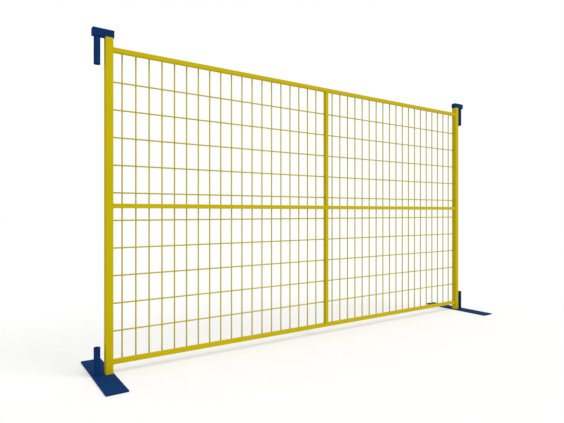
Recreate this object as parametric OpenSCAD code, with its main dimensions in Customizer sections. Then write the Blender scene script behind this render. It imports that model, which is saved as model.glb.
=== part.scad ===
// Mesh fence panel that guards a machine. A welded frame of square tube carries a
// wire mesh, its end posts stand over pins on two foot plates, and a coupler drops
// into the top of each end post. The spare pin of each foot and each coupler takes
// the end post of the next panel.
// X runs along the fence, Y from its front to its back and Z up from the floor.

/* [Posts] */
// Distance between the centre lines of the end posts
post_spacing = 3000; // [1500:75:3600]
// Length of an end post
post_length = 1800; // [1200:10:2400]
// Side of the end posts' square tube
post_size = 40; // [38:1:60]
// Wall of the end posts' tube
post_wall = 2; // [1.5:0.5:3]
// Outer corner radius of the end posts' tube
post_corner = 3; // [2:0.5:5]
// Gap between this panel's end post and the next panel's
post_gap = 20; // [10:5:40]

/* [Rails and centre post] */
// Side of the square tube of the rails and the centre post
rail_size = 25; // [20:1:28]
// Wall of the rails' tube
rail_wall = 1.5; // [1:0.25:3]
// Outer corner radius of the rails' tube
rail_corner = 2; // [1.5:0.5:4]
// Distance from an end of the posts to the outer face of the nearest rail
rail_inset = 48; // [10:1:150]
// Distance by which the rails lie in front of the posts' centre line
rail_forward = 4.5; // [0:0.5:7.5]

/* [Mesh] */
// Diameter of the mesh wire
wire_d = 8; // [4:0.5:8]
// Distance between the centres of two upright wires
upright_pitch = 75; // [50:5:150]
// Distance between the centres of two cross wires
cross_pitch = 150; // [75:5:250]
// Least gap between the frame and the wire that runs beside it
edge_gap = 50; // [20:5:70]
// Height by which the mesh hangs below the middle of the frame
mesh_drop = 3.5; // [0:0.5:8]
// Length of the upright wires beyond the middle of the cross wires on the long rails
wire_overhang = 8; // [5:1:10]
// Depth by which two wires are welded into each other where they cross
weld_sink = 2; // [0.5:0.25:2.5]

/* [Pins] */
// Clearance on each side between a pin and the inside of an end post
pin_clearance = 1.15; // [0.5:0.05:5]
// Wall of the pins' round tube
pin_wall = 3; // [2:0.5:4]

/* [Feet] */
// Length of a foot plate, across the fence
foot_length = 600; // [400:10:900]
// Thickness of a foot plate
foot_thickness = 8; // [5:1:15]
// Width of plate beyond the outer faces of the posts that stand on it
foot_margin = 5; // [0:1:30]
// Corner radius of a foot plate
foot_corner = 4; // [1:1:20]
// Height of a foot's pins above its plate
foot_pin_height = 150; // [80:5:250]

/* [Couplers] */
// Side of a coupler's square bar
coupler_size = 40; // [38:1:60]
// Wall of a coupler's bar and thickness of its end caps
coupler_wall = 3; // [2:0.5:5]
// Outer corner radius of a coupler's bar
coupler_corner = 3; // [2:0.5:6]
// Length of bar beyond the outer faces of the posts below it
coupler_margin = 5; // [0:1:30]
// Length of a coupler's pins below its bar
coupler_pin_length = 150; // [80:5:250]

/* [Hidden] */

LEFT = -1;
RIGHT = 1;
LOWER = -1;
UPPER = 1;
FRAME_YELLOW = [0.78, 0.70, 0.04];
FITTING_NAVY = [0.08, 0.21, 0.41];
// Facets of a round corner and of a pin, and sides of the bars that stand for the
// round wires
CORNER_FACETS = 32;
PIN_FACETS = 64;
WIRE_SIDES = 8;
// Smallest radius that a tube's inner corner keeps
LEAST_CORNER = 0.25;

// Places along and across the fence
post_x = post_spacing / 2;
pin_pitch = post_size + post_gap;
fitting_x = post_x + pin_pitch / 2;
rail_length = post_spacing - post_size;
rail_y = -rail_forward;

// Heights
post_base_z = foot_thickness;
post_top_z = post_base_z + post_length;
bottom_rail_z = post_base_z + rail_inset + rail_size / 2;
top_rail_z = post_top_z - rail_inset - rail_size / 2;
frame_mid_z = (bottom_rail_z + top_rail_z) / 2;
clear_height = top_rail_z - bottom_rail_z - rail_size;
mesh_mid_z = frame_mid_z - mesh_drop;

// The cross wires lie on the back of the rails and the centre post, and end on the
// inner faces of the end posts. The upright wires cross behind them.
cross_y = rail_y + rail_size / 2 + wire_d / 2;
upright_y = cross_y + wire_d - weld_sink;
uprights_each_side = floor((rail_length / 2 - edge_gap) / upright_pitch);
cross_wires_each_half = floor((clear_height / 2 - edge_gap) / cross_pitch + 0.5);

// Sections of the fittings
pin_d = post_size - 2 * (post_wall + pin_clearance);
foot_width = pin_pitch + post_size + 2 * foot_margin;
coupler_length = pin_pitch + post_size + 2 * coupler_margin;

module rounded_square(width, depth, corner) {
    square([width, depth - 2 * corner], center = true);
    square([width - 2 * corner, depth], center = true);
    for (x = [-1, 1], y = [-1, 1])
        translate([x * (width / 2 - corner), y * (depth / 2 - corner)])
            circle(r = corner, $fn = CORNER_FACETS);
}

// Square tube that stands on the origin, its bore open at both ends
module square_tube(size, wall, corner, length) {
    inner_size = size - 2 * wall;
    inner_corner = max(corner - wall, LEAST_CORNER);
    linear_extrude(height = length)
        difference() {
            rounded_square(size, size, corner);
            rounded_square(inner_size, inner_size, inner_corner);
        }
}

module lay_along_x() {
    rotate([0, 90, 0]) children();
}

module rail_tube(length) {
    square_tube(rail_size, rail_wall, rail_corner, length);
}

// Round tube that stands on the origin, its bore open at both ends
module pin_tube(length) {
    linear_extrude(height = length)
        difference() {
            circle(d = pin_d, $fn = PIN_FACETS);
            circle(d = pin_d - 2 * pin_wall, $fn = PIN_FACETS);
        }
}

module wire(length) {
    cylinder(d = wire_d / cos(180 / WIRE_SIDES), h = length, center = true, $fn = WIRE_SIDES);
}

module post(side) {
    color(FRAME_YELLOW)
        translate([side * post_x, 0, post_base_z])
            square_tube(post_size, post_wall, post_corner, post_length);
}

module centre_post() {
    color(FRAME_YELLOW)
        translate([0, rail_y, bottom_rail_z + rail_size / 2])
            rail_tube(clear_height);
}

module long_rail(height) {
    color(FRAME_YELLOW)
        translate([-rail_length / 2, rail_y, height])
            lay_along_x() rail_tube(rail_length);
}

// Half rail at mid height, from the centre post to one end post
module mid_rail(side) {
    half_length = (rail_length - rail_size) / 2;
    middle_x = side * (rail_size + half_length) / 2;
    color(FRAME_YELLOW)
        translate([middle_x - half_length / 2, rail_y, frame_mid_z])
            lay_along_x() rail_tube(half_length);
}

// Wires turn half a side about their length, so that a flat faces the frame
module cross_wire(height) {
    translate([0, cross_y, height])
        lay_along_x() rotate([0, 0, 180 / WIRE_SIDES]) wire(rail_length);
}

// Half of the welded mesh, from its middle behind the mid rails to a long rail
module mesh_half(half) {
    edge_z = half == UPPER ? top_rail_z : bottom_rail_z;
    upright_length = abs(edge_z - mesh_mid_z) + wire_overhang;
    color(FRAME_YELLOW) {
        for (i = [-uprights_each_side:uprights_each_side])
            translate([i * upright_pitch, upright_y, mesh_mid_z + half * upright_length / 2])
                rotate([0, 0, 180 / WIRE_SIDES]) wire(upright_length);
        for (i = [1:cross_wires_each_half])
            cross_wire(mesh_mid_z + half * (i - 0.5) * cross_pitch);
        cross_wire(edge_z);
    }
}

module foot_plate(side) {
    color(FITTING_NAVY)
        translate([side * fitting_x, 0, 0])
            linear_extrude(height = foot_thickness)
                rounded_square(foot_width, foot_length, foot_corner);
}

// Pin on a foot plate: steps is 0 for the one in the post and 1 for the spare one
module foot_pin(side, steps) {
    color(FITTING_NAVY)
        translate([side * (post_x + steps * pin_pitch), 0, foot_thickness])
            pin_tube(foot_pin_height);
}

module coupler_bar(side) {
    bar_length = coupler_length - 2 * coupler_wall;
    color(FITTING_NAVY)
        translate([side * fitting_x - bar_length / 2, 0, post_top_z + coupler_size / 2])
            lay_along_x() square_tube(coupler_size, coupler_wall, coupler_corner, bar_length);
}

// Plate that closes one end of a coupler's bar
module coupler_cap(side, end) {
    middle_x = side * fitting_x + end * (coupler_length - coupler_wall) / 2;
    color(FITTING_NAVY)
        translate([middle_x - coupler_wall / 2, 0, post_top_z + coupler_size / 2])
            lay_along_x() linear_extrude(height = coupler_wall)
                rounded_square(coupler_size, coupler_size, coupler_corner);
}

// Pin below a coupler: steps is 0 for the one in the post and 1 for the spare one
module coupler_pin(side, steps) {
    color(FITTING_NAVY)
        translate([side * (post_x + steps * pin_pitch), 0, post_top_z - coupler_pin_length])
            pin_tube(coupler_pin_length);
}

post(LEFT);  // left_post
post(RIGHT);  // right_post
centre_post();
long_rail(top_rail_z);  // top_rail
long_rail(bottom_rail_z);  // bottom_rail
mid_rail(LEFT);  // left_mid_rail
mid_rail(RIGHT);  // right_mid_rail
mesh_half(UPPER);  // upper_mesh
mesh_half(LOWER);  // lower_mesh
foot_plate(LEFT);  // left_foot_plate
foot_pin(LEFT, 0);  // left_foot_pin
foot_pin(LEFT, 1);  // left_foot_spare_pin
foot_plate(RIGHT);  // right_foot_plate
foot_pin(RIGHT, 0);  // right_foot_pin
foot_pin(RIGHT, 1);  // right_foot_spare_pin
coupler_bar(LEFT);  // left_coupler_bar
coupler_cap(LEFT, RIGHT);  // left_coupler_inner_cap
coupler_cap(LEFT, LEFT);  // left_coupler_outer_cap
coupler_pin(LEFT, 0);  // left_coupler_pin
coupler_pin(LEFT, 1);  // left_coupler_spare_pin
coupler_bar(RIGHT);  // right_coupler_bar
coupler_cap(RIGHT, LEFT);  // right_coupler_inner_cap
coupler_cap(RIGHT, RIGHT);  // right_coupler_outer_cap
coupler_pin(RIGHT, 0);  // right_coupler_pin
coupler_pin(RIGHT, 1);  // right_coupler_spare_pin
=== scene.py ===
"""Finish of a mesh fence panel that guards a machine.

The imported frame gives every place. This script gives the square tubes their powder
coat, replaces the mesh, the feet and the couplers with rounded and welded pieces,
adds the weld beads, and sets a plain studio round the panel.
"""

import math

import bmesh
import bpy
from bpy.props import (
    FloatProperty,
    FloatVectorProperty,
    IntProperty,
    PointerProperty,
)
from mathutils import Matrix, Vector


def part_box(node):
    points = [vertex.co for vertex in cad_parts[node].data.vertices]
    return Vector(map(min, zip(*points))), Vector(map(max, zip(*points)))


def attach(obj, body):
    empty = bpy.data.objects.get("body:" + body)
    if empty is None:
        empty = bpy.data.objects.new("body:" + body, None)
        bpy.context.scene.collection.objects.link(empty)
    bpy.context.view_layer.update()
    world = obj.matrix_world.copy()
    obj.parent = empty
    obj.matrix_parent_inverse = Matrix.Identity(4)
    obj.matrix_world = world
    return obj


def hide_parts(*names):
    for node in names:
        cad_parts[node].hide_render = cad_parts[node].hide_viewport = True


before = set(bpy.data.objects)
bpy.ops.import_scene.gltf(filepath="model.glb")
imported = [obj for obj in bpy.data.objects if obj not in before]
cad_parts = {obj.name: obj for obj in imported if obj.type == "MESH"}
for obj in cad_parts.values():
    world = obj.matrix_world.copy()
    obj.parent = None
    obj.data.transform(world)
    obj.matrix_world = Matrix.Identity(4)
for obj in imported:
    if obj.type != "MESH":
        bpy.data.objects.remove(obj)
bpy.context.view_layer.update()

bl_info = {
    "name": "Mesh fence panel",
    "version": (1, 0, 0),
    "blender": (4, 5, 0),
    "location": "3D View > Sidebar > Fence panel",
    "description": "Powder-coated, welded finish of a mesh fence panel",
    "category": "Object",
}

YELLOW_SLOT = "yellow_powder_coat"
NAVY_SLOT = "navy_powder_coat"
SIDES = ("left", "right")
X_AXIS, Z_AXIS = Vector((1, 0, 0)), Vector((0, 0, 1))

# Faces round a pin, round and along one drop of weld metal, and across the roundings of
# a corner, of a plate's or bar's edge, and of a cut end
PIN_SIDES = 48
DROP_SIDES, DROP_RINGS = 8, 6
CORNER_STEPS, EDGE_STEPS, RIM_STEPS = 5, 3, 2

# Faces that meet at more than the rim angle form an edge that is rounded, and faces that
# meet at less than the smooth angle are shaded as one surface. Angles are in degrees.
RIM_ANGLE = 60
SMOOTH_ANGLE, WELD_SMOOTH_ANGLE = 50, 80

# Cosine above which an edge counts as parallel to an axis
PARALLEL = 0.999

# A drop of weld metal in a corner reaches as far as its bead's leg, and its middle lies
# this share of the leg out of the corner. Lengths along a bead count in its ripples.
DROP_OFFSET = 0.12
DROP_HALF_LENGTH = 1.15
RUN_MARGIN = 0.8

# Patterns of the coat, each as its scale, its finer layers and the weight of those:
# clouds a few hands wide, patches of sheen, orange peel a few millimetres wide and the
# grains of the powder. All of them mostly stay between the low and the high level.
CLOUD_NOISE = (3.0, 3.0, 0.5)
SHEEN_NOISE = (45.0, 4.0, 0.5)
PEEL_NOISE = (260.0, 3.0, 0.65)
GRAIN_NOISE = (900.0, 2.0, 0.5)
NOISE_LOW, NOISE_HIGH = 0.35, 0.65

# Tints of the coats' reflections
YELLOW_SHEEN = (1.0, 0.85, 0.15)
NAVY_SHEEN = (0.25, 0.5, 1.0)

WHITE = (1, 1, 1, 1)

# Depth of the floor below the feet, so that no two faces share a plane
FLOOR_DEPTH = 0.0002

FRAME_NODES = (
    "left_post",
    "right_post",
    "centre_post",
    "top_rail",
    "bottom_rail",
    "left_mid_rail",
    "right_mid_rail",
)


def middle(node):
    """Middle of a CAD node's box."""
    low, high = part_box(node)
    return (low + high) / 2


def extent(node):
    """Size of a CAD node's box."""
    low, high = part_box(node)
    return high - low


class FenceMeshSizes(bpy.types.PropertyGroup):
    """Wires of the welded mesh."""

    wire: FloatProperty(
        name="Wire",
        description="Diameter of the mesh wire",
        default=0.008,
        unit="LENGTH",
    )
    upright_pitch: FloatProperty(
        name="Upright pitch",
        description="Distance between two upright wires",
        default=0.075,
        unit="LENGTH",
    )
    cross_pitch: FloatProperty(
        name="Cross pitch",
        description="Distance between two cross wires",
        default=0.150,
        unit="LENGTH",
    )
    wire_sides: IntProperty(
        name="Wire sides",
        description="Faces round a wire",
        default=16,
        min=8,
    )
    cut_round: FloatProperty(
        name="Cut rounding",
        description="Rounding of a wire's cut ends",
        default=0.0007,
        unit="LENGTH",
    )
    nugget: FloatProperty(
        name="Weld nugget",
        description="Width of the weld where two wires cross",
        default=0.0118,
        unit="LENGTH",
    )
    nugget_depth: FloatProperty(
        name="Nugget depth",
        description="Depth of the weld where two wires cross",
        default=0.0044,
        unit="LENGTH",
    )


class FenceWeldSizes(bpy.types.PropertyGroup):
    """Weld beads between the tubes, and tacks that hold the mesh to them."""

    leg: FloatProperty(
        name="Bead leg",
        description="Reach of a corner bead along each of the two faces",
        default=0.0034,
        unit="LENGTH",
    )
    seam: FloatProperty(
        name="Seam width",
        description="Width of a bead between two flush faces",
        default=0.0044,
        unit="LENGTH",
    )
    seam_rise: FloatProperty(
        name="Seam rise",
        description="Height of a bead between two flush faces",
        default=0.0007,
        unit="LENGTH",
    )
    ripple: FloatProperty(
        name="Ripple",
        description="Distance between two ripples of a bead",
        default=0.0024,
        unit="LENGTH",
    )
    tack: FloatVectorProperty(
        name="Tack",
        description="Length, depth and height of a tack that holds a cross wire to a tube's back",
        default=(0.0090, 0.0056, 0.0112),
        subtype="XYZ_LENGTH",
        unit="LENGTH",
    )
    wire_end: FloatVectorProperty(
        name="Wire end weld",
        description="Length, depth and height of the weld between a cross wire's end and a post",
        default=(0.0048, 0.0120, 0.0120),
        subtype="XYZ_LENGTH",
        unit="LENGTH",
    )
    tack_offset: FloatProperty(
        name="Tack offset",
        description="Distance between a tack's middle and the face that it sits on",
        default=0.0008,
        unit="LENGTH",
    )


class FenceFittingSizes(bpy.types.PropertyGroup):
    """Feet and couplers."""

    plate_corner: FloatProperty(
        name="Plate corner",
        description="Corner radius of a foot plate",
        default=0.004,
        unit="LENGTH",
    )
    plate_edge: FloatProperty(
        name="Plate edge",
        description="Rounding of a foot plate's top and bottom edges",
        default=0.0012,
        unit="LENGTH",
    )
    bar_corner: FloatProperty(
        name="Bar corner",
        description="Corner radius of a coupler's bar",
        default=0.003,
        unit="LENGTH",
    )
    cap: FloatProperty(
        name="Cap",
        description="Thickness of the plates that close a coupler's bar",
        default=0.003,
        unit="LENGTH",
    )
    cap_edge: FloatProperty(
        name="Cap edge",
        description="Rounding of a cap's outer edge",
        default=0.0010,
        unit="LENGTH",
    )
    cap_groove: FloatProperty(
        name="Cap groove",
        description="Depth and half width of the groove between a cap and its bar",
        default=0.0006,
        unit="LENGTH",
    )
    pin_wall: FloatProperty(
        name="Pin wall",
        description="Wall of a pin's round tube",
        default=0.003,
        unit="LENGTH",
    )
    pin_rim: FloatProperty(
        name="Pin rim",
        description="Rounding of a pin's open end",
        default=0.0007,
        unit="LENGTH",
    )


class FenceFinish(bpy.types.PropertyGroup):
    """Powder coats."""

    yellow: FloatVectorProperty(
        name="Frame yellow",
        description="Colour of the frame's coat",
        subtype="COLOR",
        default=(0.560, 0.440, 0.0015),
    )
    mesh_yellow: FloatVectorProperty(
        name="Mesh yellow",
        description="Colour of the mesh's coat",
        subtype="COLOR",
        default=(0.520, 0.445, 0.0012),
    )
    navy: FloatVectorProperty(
        name="Fitting navy",
        description="Colour of the feet's and the couplers' coat",
        subtype="COLOR",
        default=(0.005, 0.034, 0.130),
    )
    yellow_cloud: FloatProperty(
        name="Yellow clouding",
        description="Share by which the yellow coats' colour varies",
        default=0.08,
        subtype="FACTOR",
    )
    navy_cloud: FloatProperty(
        name="Navy clouding",
        description="Share by which the navy coat's colour varies",
        default=0.20,
        subtype="FACTOR",
    )
    grain: FloatProperty(
        name="Grain",
        description="Part of that variation that comes from the grains of the powder",
        default=0.45,
        subtype="FACTOR",
    )
    yellow_gloss: FloatProperty(
        name="Yellow gloss",
        description="Level of the yellow coats' reflections",
        default=0.20,
        subtype="FACTOR",
    )
    navy_gloss: FloatProperty(
        name="Navy gloss",
        description="Level of the navy coat's reflections",
        default=0.05,
        subtype="FACTOR",
    )
    roughness: FloatProperty(
        name="Roughness",
        description="Mean roughness of the coat",
        default=0.80,
        subtype="FACTOR",
    )
    roughness_spread: FloatProperty(
        name="Roughness spread",
        description="Amount by which the roughness varies either way",
        default=0.06,
        subtype="FACTOR",
    )
    peel: FloatProperty(
        name="Orange peel",
        description="Height of the coat's fine ripple",
        default=0.0003,
        unit="LENGTH",
    )


class FenceStudio(bpy.types.PropertyGroup):
    """Camera, light and floor."""

    camera_place: FloatVectorProperty(
        name="Camera place",
        description="Where the camera stands",
        subtype="XYZ",
        unit="LENGTH",
        default=(-2.1169, -2.5799, 0.8743),
    )
    camera_turn: FloatProperty(
        name="Camera turn",
        description="Turn of the camera from the fence's normal",
        subtype="ANGLE",
        unit="ROTATION",
        default=math.radians(-33.98),
    )
    lens: FloatProperty(
        name="Lens",
        description="Focal length on a 36 mm sensor",
        subtype="DISTANCE_CAMERA",
        default=29.53,
    )
    shift_up: FloatProperty(
        name="Shift",
        description="Shift of the picture, in widths",
        default=0.0011,
        precision=4,
    )
    ambient: FloatProperty(
        name="Ambient",
        description="Strength of the even light from all round",
        default=0.72,
    )
    key: FloatProperty(
        name="Key",
        description="Strength of the soft light from the front and above",
        default=1.28,
    )
    key_from: FloatVectorProperty(
        name="Key direction",
        description="Direction from the panel to the soft light",
        subtype="DIRECTION",
        default=(0.37, -0.565, 0.737),
    )
    key_spread: FloatProperty(
        name="Key spread",
        description="Angle that the soft light covers",
        subtype="ANGLE",
        unit="ROTATION",
        default=math.radians(35),
    )
    floor: FloatVectorProperty(
        name="Floor",
        description="Colour of the floor",
        subtype="COLOR",
        default=(0.80, 0.80, 0.80),
    )
    floor_lift: FloatProperty(
        name="Floor lift",
        description="Light that the floor adds to itself where it is seen",
        default=0.20,
    )
    floor_size: FloatProperty(
        name="Floor size",
        description="Side of the floor",
        unit="LENGTH",
        default=120.0,
    )


# Selecting, shaping and finishing


def deselect_all():
    if bpy.context.mode != "OBJECT":
        bpy.ops.object.mode_set(mode="OBJECT")
    bpy.ops.object.select_all(action="DESELECT")


def select_only(*pieces):
    deselect_all()
    for piece in pieces:
        piece.select_set(True)
    bpy.context.view_layer.objects.active = pieces[0]


def settle(piece):
    """Moves a piece's place, turn and scale into its mesh."""
    select_only(piece)
    bpy.ops.object.transform_apply(location=True, rotation=True, scale=True)
    return piece


def apply_modifier(piece, kind, **settings):
    select_only(piece)
    modifier = piece.modifiers.new(kind.title(), kind)
    for name, value in settings.items():
        setattr(modifier, name, value)
    bpy.ops.object.modifier_apply(modifier=modifier.name)
    return piece


def array(piece, count, step):
    """Repeats a piece's mesh in a straight row."""
    return apply_modifier(
        piece,
        "ARRAY",
        count=count,
        use_relative_offset=False,
        use_constant_offset=True,
        constant_offset_displace=step,
    )


def round_rims(piece, width, segments=RIM_STEPS):
    """Rounds the edges where two faces meet at more than the rim angle."""
    return apply_modifier(
        piece,
        "BEVEL",
        width=width,
        segments=segments,
        limit_method="ANGLE",
        angle_limit=math.radians(RIM_ANGLE),
    )


def smooth(piece, angle=SMOOTH_ANGLE):
    select_only(piece)
    bpy.ops.object.shade_smooth_by_angle(angle=math.radians(angle))
    return piece


def smooth_flats(piece):
    """Smooth shading that leaves the large flat faces flat."""
    smooth(piece)
    return apply_modifier(piece, "WEIGHTED_NORMAL", keep_sharp=True)


def join(pieces, name):
    select_only(*pieces)
    bpy.ops.object.join()
    return rename(bpy.context.view_layer.objects.active, name)


def rename(piece, name):
    piece.name = name
    piece.data.name = name
    return piece


def bevel_edges(piece, wanted, offset, segments):
    """Bevels, in edit mode, the edges that pass the test."""
    select_only(piece)
    bpy.ops.object.mode_set(mode="EDIT")
    bpy.ops.mesh.select_mode(type="EDGE")
    bpy.ops.mesh.select_all(action="DESELECT")
    shape = bmesh.from_edit_mesh(piece.data)
    found = [edge for edge in shape.edges if wanted(edge)]
    if not found:
        raise RuntimeError(f"{piece.name} has no edge to bevel")
    for edge in found:
        edge.select_set(True)
    bmesh.update_edit_mesh(piece.data)
    bpy.ops.mesh.bevel(offset=offset, offset_type="OFFSET", segments=segments, affect="EDGES")
    bpy.ops.object.mode_set(mode="OBJECT")
    return piece


def runs_along(axis):
    """Test for an edge that is parallel to an axis."""

    def test(edge):
        run = edge.verts[1].co - edge.verts[0].co
        return abs(run.normalized().dot(axis)) > PARALLEL

    return test


def block(node_low, node_high):
    """Box between two corners, its place already in its mesh."""
    size = node_high - node_low
    deselect_all()
    bpy.ops.mesh.primitive_cube_add(size=1, location=(node_low + node_high) / 2)
    piece = bpy.context.object
    piece.scale = size
    return settle(piece)


def ball(centre, half_sizes):
    """Flattened ball of a few dozen faces, for one drop of weld metal."""
    deselect_all()
    bpy.ops.mesh.primitive_uv_sphere_add(
        segments=DROP_SIDES, ring_count=DROP_RINGS, radius=1, location=centre
    )
    piece = bpy.context.object
    piece.scale = half_sizes
    return settle(piece)


def finish(piece, coat, slot, *replaced):
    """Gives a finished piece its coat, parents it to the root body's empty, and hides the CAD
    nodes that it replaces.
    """
    piece.data.materials.clear()
    piece.data.materials.append(coat)
    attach(piece, "root")
    if replaced:
        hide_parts(*replaced)
    return piece


# Powder coats


def noise(nodes, pattern):
    scale, detail, roughness = pattern
    texture = nodes.new("ShaderNodeTexNoise")
    texture.inputs["Scale"].default_value = scale
    texture.inputs["Detail"].default_value = detail
    texture.inputs["Roughness"].default_value = roughness
    return texture


def powder_coat(name, colour, tint, gloss, variation, settings):
    """Powder coat with a fine orange peel, faint clouds and an uneven sheen."""
    found = bpy.data.materials.get(name)
    if found:
        return found
    coat = bpy.data.materials.new(name)
    coat.use_nodes = True
    nodes, links = coat.node_tree.nodes, coat.node_tree.links
    nodes.clear()
    output = nodes.new("ShaderNodeOutputMaterial")
    shader = nodes.new("ShaderNodeBsdfPrincipled")
    place = nodes.new("ShaderNodeTexCoord")
    shader.inputs["Specular IOR Level"].default_value = gloss
    shader.inputs["Specular Tint"].default_value = (*tint, 1)

    # Clouds, where the powder went on thicker, and its grains
    cloud = noise(nodes, CLOUD_NOISE)
    grain = noise(nodes, GRAIN_NOISE)
    shade = nodes.new("ShaderNodeMix")
    shade.data_type = "FLOAT"
    shade.inputs["Factor"].default_value = settings.grain
    tone = nodes.new("ShaderNodeValToRGB")
    dark, light = tone.color_ramp.elements
    dark.position, light.position = NOISE_LOW, NOISE_HIGH
    dark.color = (*[c * (1 - variation / 2) for c in colour], 1)
    light.color = (*[c * (1 + variation / 2) for c in colour], 1)

    # Sheen that varies with the thickness of the powder
    sheen = noise(nodes, SHEEN_NOISE)
    rough = nodes.new("ShaderNodeMapRange")
    rough.inputs["From Min"].default_value = NOISE_LOW
    rough.inputs["From Max"].default_value = NOISE_HIGH
    rough.inputs["To Min"].default_value = settings.roughness - settings.roughness_spread
    rough.inputs["To Max"].default_value = settings.roughness + settings.roughness_spread

    # Orange peel, with a finer grit on it
    peel = noise(nodes, PEEL_NOISE)
    bump = nodes.new("ShaderNodeBump")
    bump.inputs["Distance"].default_value = settings.peel

    for texture in (cloud, grain, sheen, peel):
        links.new(place.outputs["Object"], texture.inputs["Vector"])
    links.new(cloud.outputs["Fac"], shade.inputs["A"])
    links.new(grain.outputs["Fac"], shade.inputs["B"])
    links.new(shade.outputs["Result"], tone.inputs["Fac"])
    links.new(tone.outputs["Color"], shader.inputs["Base Color"])
    links.new(sheen.outputs["Fac"], rough.inputs["Value"])
    links.new(rough.outputs["Result"], shader.inputs["Roughness"])
    links.new(peel.outputs["Fac"], bump.inputs["Height"])
    links.new(bump.outputs["Normal"], shader.inputs["Normal"])
    links.new(shader.outputs["BSDF"], output.inputs["Surface"])
    return coat


def yellow_coat(context):
    look = context.scene.fence_finish
    shared = (YELLOW_SHEEN, look.yellow_gloss, look.yellow_cloud, look)
    return powder_coat("frame_yellow_coat", look.yellow, *shared)


def mesh_coat(context):
    look = context.scene.fence_finish
    shared = (YELLOW_SHEEN, look.yellow_gloss, look.yellow_cloud, look)
    return powder_coat("mesh_yellow_coat", look.mesh_yellow, *shared)


def navy_coat(context):
    look = context.scene.fence_finish
    return powder_coat(
        "fitting_navy_coat", look.navy, NAVY_SHEEN, look.navy_gloss, look.navy_cloud, look
    )


# Weld metal


def weld_run(start, end, half_sizes, ripple):
    """Row of overlapping drops from start to end, which makes a rippled bead."""
    run = end - start
    count = max(2, round(run.length / ripple) + 1)
    half_sizes = half_sizes + run.normalized() * ripple * DROP_HALF_LENGTH
    drop = ball(start, [abs(size) for size in half_sizes])
    return array(drop, count, run / (count - 1))


def corner_drop(leg):
    """Offset out of the corner and half size of a drop that reaches a leg's length."""
    offset = leg * DROP_OFFSET
    return offset, leg - offset


def weld_joint(tube, carrier, axis, sign, settings):
    """Beads on the four sides of a square tube whose end meets a carrier's face.

    axis and sign tell which end. A side that is flush with the carrier gets a flat
    seam, and any other side gets a corner bead that stays on the carrier's face.
    """
    low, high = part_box(tube)
    held_low, held_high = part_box(carrier)
    end = (low + high) / 2
    end[axis] = (high if sign > 0 else low)[axis]
    away = Vector()
    away[axis] = -sign
    beads = []
    for across in range(3):
        if across == axis:
            continue
        along = 3 - axis - across
        half_run = Vector()
        half_run[along] = (high[along] - low[along]) / 2 - settings.ripple * RUN_MARGIN
        for turn in (-1, 1):
            face = (high if turn > 0 else low)[across]
            room = turn * ((held_high if turn > 0 else held_low)[across] - face)
            side = Vector()
            side[across] = turn
            line = end.copy()
            line[across] = face
            if room < settings.seam_rise:
                half_sizes = away * settings.seam / 2 + side * settings.seam_rise
            else:
                offset, half_size = corner_drop(min(settings.leg, room))
                line += (side + away) * offset
                half_sizes = (side + away) * half_size
            beads.append(
                weld_run(line - half_run, line + half_run, half_sizes, settings.ripple)
            )
    return beads


def ring_weld(root, away, radius, settings):
    """Rippled bead round the root of a round pin that stands away from a face."""
    offset, half_size = corner_drop(settings.leg)
    centre = root + away * offset
    count = round(2 * math.pi * radius / settings.ripple)
    half_sizes = (half_size, settings.ripple * DROP_HALF_LENGTH, half_size)
    drop = ball(centre + X_AXIS * (radius + offset), half_sizes)
    select_only(drop)
    bpy.ops.object.mode_set(mode="EDIT")
    bpy.ops.mesh.select_all(action="SELECT")
    bpy.ops.mesh.spin(
        steps=count - 1,
        dupli=True,
        angle=2 * math.pi * (count - 1) / count,
        center=centre,
        axis=Z_AXIS,
    )
    bpy.ops.object.mode_set(mode="OBJECT")
    return drop


# The pieces


class WireGrid:
    """Places of the mesh wires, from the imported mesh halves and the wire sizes.

    rows gives the lowest height and the number of each evenly spaced set of cross
    wires, and across and upwards are the steps from one wire to the next.
    """

    def __init__(self, sizes):
        radius = sizes.wire / 2
        self.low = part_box("lower_mesh")[0]
        seam, self.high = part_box("upper_mesh")
        self.cross_y = self.low.y + radius
        self.upright_y = self.high.y - radius
        self.weld_y = (self.cross_y + self.upright_y) / 2
        each_side = int(self.high.x // sizes.upright_pitch)
        self.uprights = 2 * each_side + 1
        self.first_x = -each_side * sizes.upright_pitch
        self.edges = [middle("bottom_rail").z, middle("top_rail").z]
        each_half = round((self.edges[1] - seam.z) / sizes.cross_pitch - 0.5)
        self.crosses = 2 * each_half
        self.first_z = seam.z - (each_half - 0.5) * sizes.cross_pitch
        self.rows = [(self.first_z, self.crosses)] + [(edge, 1) for edge in self.edges]
        self.across = (sizes.upright_pitch, 0, 0)
        self.upwards = (0, 0, sizes.cross_pitch)


class FENCE_OT_coat_frame(bpy.types.Operator):
    """Give the square tubes of the frame their yellow powder coat"""

    bl_idname = "fence_panel.coat_frame"
    bl_label = "Coat frame"

    def execute(self, context):
        coat = yellow_coat(context)
        for name in FRAME_NODES:
            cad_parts[name].material_slots[0].material = coat
        return {"FINISHED"}


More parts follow.
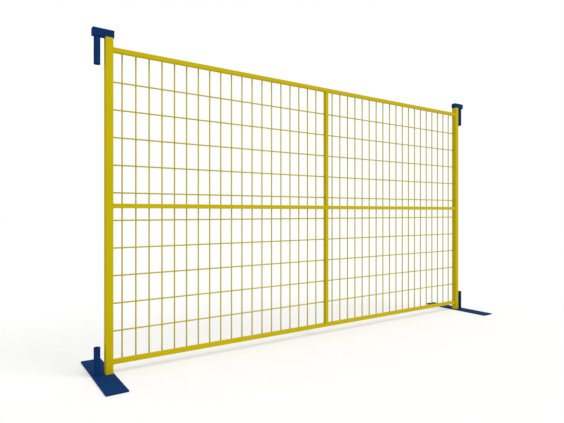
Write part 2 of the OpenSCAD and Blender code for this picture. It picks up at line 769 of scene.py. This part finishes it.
class FENCE_OT_make_mesh(bpy.types.Operator):
    """Build the welded wire mesh: upright wires behind cross wires, fused where they meet"""

    bl_idname = "fence_panel.make_mesh"
    bl_label = "Make wire mesh"

    def wire(self, start, end):
        """One round wire between two points, its cut ends rounded."""
        sizes = bpy.context.scene.fence_mesh
        run = end - start
        deselect_all()
        bpy.ops.mesh.primitive_cylinder_add(
            vertices=sizes.wire_sides,
            radius=sizes.wire / 2,
            depth=run.length,
            location=(start + end) / 2,
            rotation=run.to_track_quat("Z", "Y").to_euler(),
        )
        return round_rims(settle(bpy.context.object), sizes.cut_round)

    def execute(self, context):
        sizes = context.scene.fence_mesh
        grid = WireGrid(sizes)
        start = Vector((grid.first_x, grid.upright_y, grid.low.z))
        end = Vector((grid.first_x, grid.upright_y, grid.high.z))
        parts = [array(self.wire(start, end), grid.uprights, grid.across)]
        nugget_sizes = (sizes.nugget / 2, sizes.nugget_depth / 2, sizes.nugget / 2)
        for z, count in grid.rows:
            start = Vector((grid.low.x, grid.cross_y, z))
            end = Vector((grid.high.x, grid.cross_y, z))
            parts.append(array(self.wire(start, end), count, grid.upwards))
            nugget = ball(Vector((grid.first_x, grid.weld_y, z)), nugget_sizes)
            nuggets = array(nugget, grid.uprights, grid.across)
            parts.append(array(nuggets, count, grid.upwards))
        piece = smooth(join(parts, "wire_mesh"))
        finish(piece, mesh_coat(context), YELLOW_SLOT, "upper_mesh", "lower_mesh")
        return {"FINISHED"}


class FENCE_OT_weld_frame(bpy.types.Operator):
    """Lay the weld beads that join the tubes, and the tacks that hold the mesh to them"""

    bl_idname = "fence_panel.weld_frame"
    bl_label = "Weld frame"

    def tube_joints(self, settings):
        """Beads at both ends of the rails and of the centre post."""
        beads = []
        for tube, axis, first, last in (
            ("top_rail", 0, "left_post", "right_post"),
            ("bottom_rail", 0, "left_post", "right_post"),
            ("left_mid_rail", 0, "left_post", "centre_post"),
            ("right_mid_rail", 0, "centre_post", "right_post"),
            ("centre_post", 2, "bottom_rail", "top_rail"),
        ):
            beads += weld_joint(tube, first, axis, -1, settings)
            beads += weld_joint(tube, last, axis, 1, settings)
        return beads

    def wire_tacks(self, sizes, settings):
        """Tacks at the ends of the cross wires and behind the tubes that they cross."""
        grid = WireGrid(sizes)
        end_sizes = Vector(settings.wire_end) / 2
        tack_sizes = Vector(settings.tack) / 2
        tacks = []
        for x in (grid.low.x + settings.tack_offset, grid.high.x - settings.tack_offset):
            for z, count in grid.rows:
                end_weld = ball(Vector((x, grid.cross_y, z)), end_sizes)
                tacks.append(array(end_weld, count, grid.upwards))

        # At both edges of the centre post, and at every second opening along the long rails
        back_y = grid.low.y + settings.tack_offset
        edge = extent("centre_post").x / 2 - tack_sizes.x
        for x in (-edge, edge):
            tack = ball(Vector((x, back_y, grid.first_z)), tack_sizes)
            tacks.append(array(tack, grid.crosses, grid.upwards))
        for z in grid.edges:
            first = Vector((grid.first_x + sizes.upright_pitch / 2, back_y, z))
            tack = ball(first, tack_sizes)
            tacks.append(array(tack, grid.uprights // 2, (2 * sizes.upright_pitch, 0, 0)))
        return tacks

    def execute(self, context):
        settings = context.scene.fence_welds
        tacks = self.wire_tacks(context.scene.fence_mesh, settings)
        beads = self.tube_joints(settings) + tacks
        piece = smooth(join(beads, "frame_welds"), WELD_SMOOTH_ANGLE)
        finish(piece, yellow_coat(context), YELLOW_SLOT)
        return {"FINISHED"}


def make_pin(node, name, coat, sizes):
    """Round tube in place of a CAD pin, its cut ends rounded."""
    size = extent(node)
    deselect_all()
    bpy.ops.mesh.primitive_cylinder_add(
        vertices=PIN_SIDES,
        radius=size.x / 2,
        depth=size.z,
        end_fill_type="NOTHING",
        location=middle(node),
    )
    pin = rename(settle(bpy.context.object), name)
    apply_modifier(pin, "SOLIDIFY", thickness=sizes.pin_wall, offset=-1, use_even_offset=True)
    round_rims(pin, sizes.pin_rim)
    smooth_flats(pin)
    return finish(pin, coat, NAVY_SLOT, node)


def make_pins(fitting, end, coat, context):
    """A fitting's pin in the post, and its spare pin with the weld bead round its root.

    end is 1 for pins that stand on their fitting, and -1 for pins that hang from it.
    """
    sizes = context.scene.fence_fittings
    make_pin(f"{fitting}_pin", f"{fitting}_post_spigot", coat, sizes)
    spare = f"{fitting}_spare_pin"
    make_pin(spare, f"{fitting}_spare_spigot", coat, sizes)
    root = middle(spare)
    root.z -= end * extent(spare).z / 2
    bead = ring_weld(root, Z_AXIS * end, extent(spare).x / 2, context.scene.fence_welds)
    smooth(rename(bead, f"{fitting}_weld"), WELD_SMOOTH_ANGLE)
    finish(bead, coat, NAVY_SLOT)


class FENCE_OT_make_feet(bpy.types.Operator):
    """Build the two feet: a thick plate with a pin in the post and a spare pin beside it"""

    bl_idname = "fence_panel.make_feet"
    bl_label = "Make feet"

    def execute(self, context):
        sizes = context.scene.fence_fittings
        coat = navy_coat(context)
        for side in SIDES:
            node = f"{side}_foot_plate"
            plate = rename(block(*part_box(node)), f"{side}_foot_base")
            bevel_edges(plate, runs_along(Z_AXIS), sizes.plate_corner, CORNER_STEPS)
            round_rims(plate, sizes.plate_edge, EDGE_STEPS)
            smooth_flats(plate)
            finish(plate, coat, NAVY_SLOT, node)
            make_pins(f"{side}_foot", 1, coat, context)
        return {"FINISHED"}


class FENCE_OT_make_couplers(bpy.types.Operator):
    """Build the two couplers: a capped bar with a pin in the post and a spare pin beside it"""

    bl_idname = "fence_panel.make_couplers"
    bl_label = "Make couplers"

    def press_groove(self, bar, centre, half_size, depth):
        """Presses the groove between a cap and the bar into the bar's four sides."""
        select_only(bar)
        bpy.ops.object.mode_set(mode="EDIT")
        for cut in (centre.x - depth, centre.x, centre.x + depth):
            bpy.ops.mesh.select_all(action="SELECT")
            bpy.ops.mesh.bisect(plane_co=(cut, 0, 0), plane_no=X_AXIS)
        bpy.ops.mesh.select_mode(type="VERT")
        bpy.ops.mesh.select_all(action="DESELECT")
        shape = bmesh.from_edit_mesh(bar.data)
        for vertex in shape.verts:
            vertex.select_set(abs(vertex.co.x - centre.x) < depth / 2)
        bmesh.update_edit_mesh(bar.data)
        shrink = 1 - depth / half_size
        bpy.ops.transform.resize(value=(1, shrink, shrink), center_override=centre)
        bpy.ops.object.mode_set(mode="OBJECT")

    def execute(self, context):
        sizes = context.scene.fence_fittings
        coat = navy_coat(context)
        for side in SIDES:
            parts = [f"{side}_coupler_{part}" for part in ("bar", "inner_cap", "outer_cap")]
            lows, highs = zip(*(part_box(part) for part in parts))
            low = Vector([min(corner[i] for corner in lows) for i in range(3)])
            high = Vector([max(corner[i] for corner in highs) for i in range(3)])
            bar = rename(block(low, high), f"{side}_coupler_box")
            bevel_edges(bar, runs_along(X_AXIS), sizes.bar_corner, CORNER_STEPS)
            round_rims(bar, sizes.cap_edge, EDGE_STEPS)
            for x in (low.x + sizes.cap, high.x - sizes.cap):
                centre = (low + high) / 2
                centre.x = x
                self.press_groove(bar, centre, (high.z - low.z) / 2, sizes.cap_groove)
            smooth_flats(bar)
            finish(bar, coat, NAVY_SLOT, *parts)
            make_pins(f"{side}_coupler", -1, coat, context)
        return {"FINISHED"}


# The studio


def seen_directly(nodes, links):
    """1 for camera, mirror and glass rays, and 0 for the light that the object receives."""
    path = nodes.new("ShaderNodeLightPath")
    total = path.outputs["Is Camera Ray"]
    for ray in ("Is Glossy Ray", "Is Transmission Ray"):
        either = nodes.new("ShaderNodeMath")
        either.operation = "MAXIMUM"
        links.new(total, either.inputs[0])
        links.new(path.outputs[ray], either.inputs[1])
        total = either.outputs[0]
    return total


class FENCE_OT_set_stage(bpy.types.Operator):
    """Set the camera, the soft light, the white surroundings and the pale floor"""

    bl_idname = "fence_panel.set_stage"
    bl_label = "Set stage"

    def world(self, studio):
        world = bpy.data.worlds.new("studio")
        bpy.context.scene.world = world
        world.use_nodes = True
        nodes, links = world.node_tree.nodes, world.node_tree.links
        nodes.clear()
        output = nodes.new("ShaderNodeOutputWorld")
        light = nodes.new("ShaderNodeBackground")
        shown = nodes.new("ShaderNodeBackground")
        either = nodes.new("ShaderNodeMixShader")
        light.inputs["Color"].default_value = WHITE
        light.inputs["Strength"].default_value = studio.ambient
        shown.inputs["Color"].default_value = WHITE
        shown.inputs["Strength"].default_value = 1.0
        links.new(seen_directly(nodes, links), either.inputs["Fac"])
        links.new(light.outputs[0], either.inputs[1])
        links.new(shown.outputs[0], either.inputs[2])
        links.new(either.outputs[0], output.inputs["Surface"])

    def floor(self, studio):
        deselect_all()
        bpy.ops.mesh.primitive_plane_add(size=studio.floor_size, location=(0, 0, -FLOOR_DEPTH))
        floor = rename(settle(bpy.context.object), "floor")
        pale = bpy.data.materials.new("pale_floor")
        pale.use_nodes = True
        nodes, links = pale.node_tree.nodes, pale.node_tree.links
        nodes.clear()
        output = nodes.new("ShaderNodeOutputMaterial")
        matt = nodes.new("ShaderNodeBsdfDiffuse")
        glow = nodes.new("ShaderNodeEmission")
        both = nodes.new("ShaderNodeAddShader")
        either = nodes.new("ShaderNodeMixShader")
        matt.inputs["Color"].default_value = (*studio.floor, 1)
        glow.inputs["Color"].default_value = WHITE
        glow.inputs["Strength"].default_value = studio.floor_lift
        links.new(matt.outputs[0], both.inputs[0])
        links.new(glow.outputs[0], both.inputs[1])
        links.new(seen_directly(nodes, links), either.inputs["Fac"])
        links.new(matt.outputs[0], either.inputs[1])
        links.new(both.outputs[0], either.inputs[2])
        links.new(either.outputs[0], output.inputs["Surface"])
        floor.data.materials.append(pale)

    def key(self, studio):
        light = bpy.data.lights.new("key", "SUN")
        light.energy = studio.key
        light.angle = studio.key_spread
        lamp = bpy.data.objects.new("key", light)
        bpy.context.scene.collection.objects.link(lamp)
        lamp.rotation_euler = Vector(studio.key_from).to_track_quat("Z", "Y").to_euler()

    def camera(self, studio):
        lens = bpy.data.cameras.new("camera")
        lens.lens = studio.lens
        lens.shift_y = studio.shift_up
        camera = bpy.data.objects.new("camera", lens)
        bpy.context.scene.collection.objects.link(camera)
        camera.location = studio.camera_place
        camera.rotation_euler = (math.pi / 2, 0, studio.camera_turn)
        bpy.context.scene.camera = camera

    def execute(self, context):
        studio = context.scene.fence_studio
        context.scene.view_settings.view_transform = "Standard"
        self.world(studio)
        self.floor(studio)
        self.key(studio)
        self.camera(studio)
        return {"FINISHED"}


class FENCE_PT_panel(bpy.types.Panel):
    """Sizes, finishes and steps of the fence panel"""

    bl_idname = "FENCE_PT_panel"
    bl_label = "Fence panel"
    bl_space_type = "VIEW_3D"
    bl_region_type = "UI"
    bl_category = "Fence panel"

    def draw(self, context):
        for operator, group in STEPS:
            box = self.layout.box()
            box.operator(operator.bl_idname)
            settings = getattr(context.scene, group)
            for name in settings.bl_rna.properties.keys():
                if name not in ("rna_type", "name"):
                    box.prop(settings, name)


GROUPS = {
    "fence_mesh": FenceMeshSizes,
    "fence_welds": FenceWeldSizes,
    "fence_fittings": FenceFittingSizes,
    "fence_finish": FenceFinish,
    "fence_studio": FenceStudio,
}
STEPS = (
    (FENCE_OT_coat_frame, "fence_finish"),
    (FENCE_OT_make_mesh, "fence_mesh"),
    (FENCE_OT_weld_frame, "fence_welds"),
    (FENCE_OT_make_feet, "fence_fittings"),
    (FENCE_OT_make_couplers, "fence_fittings"),
    (FENCE_OT_set_stage, "fence_studio"),
)


def register():
    for group in GROUPS.values():
        bpy.utils.register_class(group)
    for operator, _ in STEPS:
        bpy.utils.register_class(operator)
    bpy.utils.register_class(FENCE_PT_panel)
    for name, group in GROUPS.items():
        setattr(bpy.types.Scene, name, PointerProperty(type=group))


def unregister():
    for name in GROUPS:
        delattr(bpy.types.Scene, name)
    bpy.utils.unregister_class(FENCE_PT_panel)
    for operator, _ in reversed(STEPS):
        bpy.utils.unregister_class(operator)
    for group in reversed(list(GROUPS.values())):
        bpy.utils.unregister_class(group)


def main():
    register()
    bpy.ops.fence_panel.coat_frame()
    bpy.ops.fence_panel.make_mesh()
    bpy.ops.fence_panel.weld_frame()
    bpy.ops.fence_panel.make_feet()
    bpy.ops.fence_panel.make_couplers()
    bpy.ops.fence_panel.set_stage()


if __name__ == "__main__":
    main()
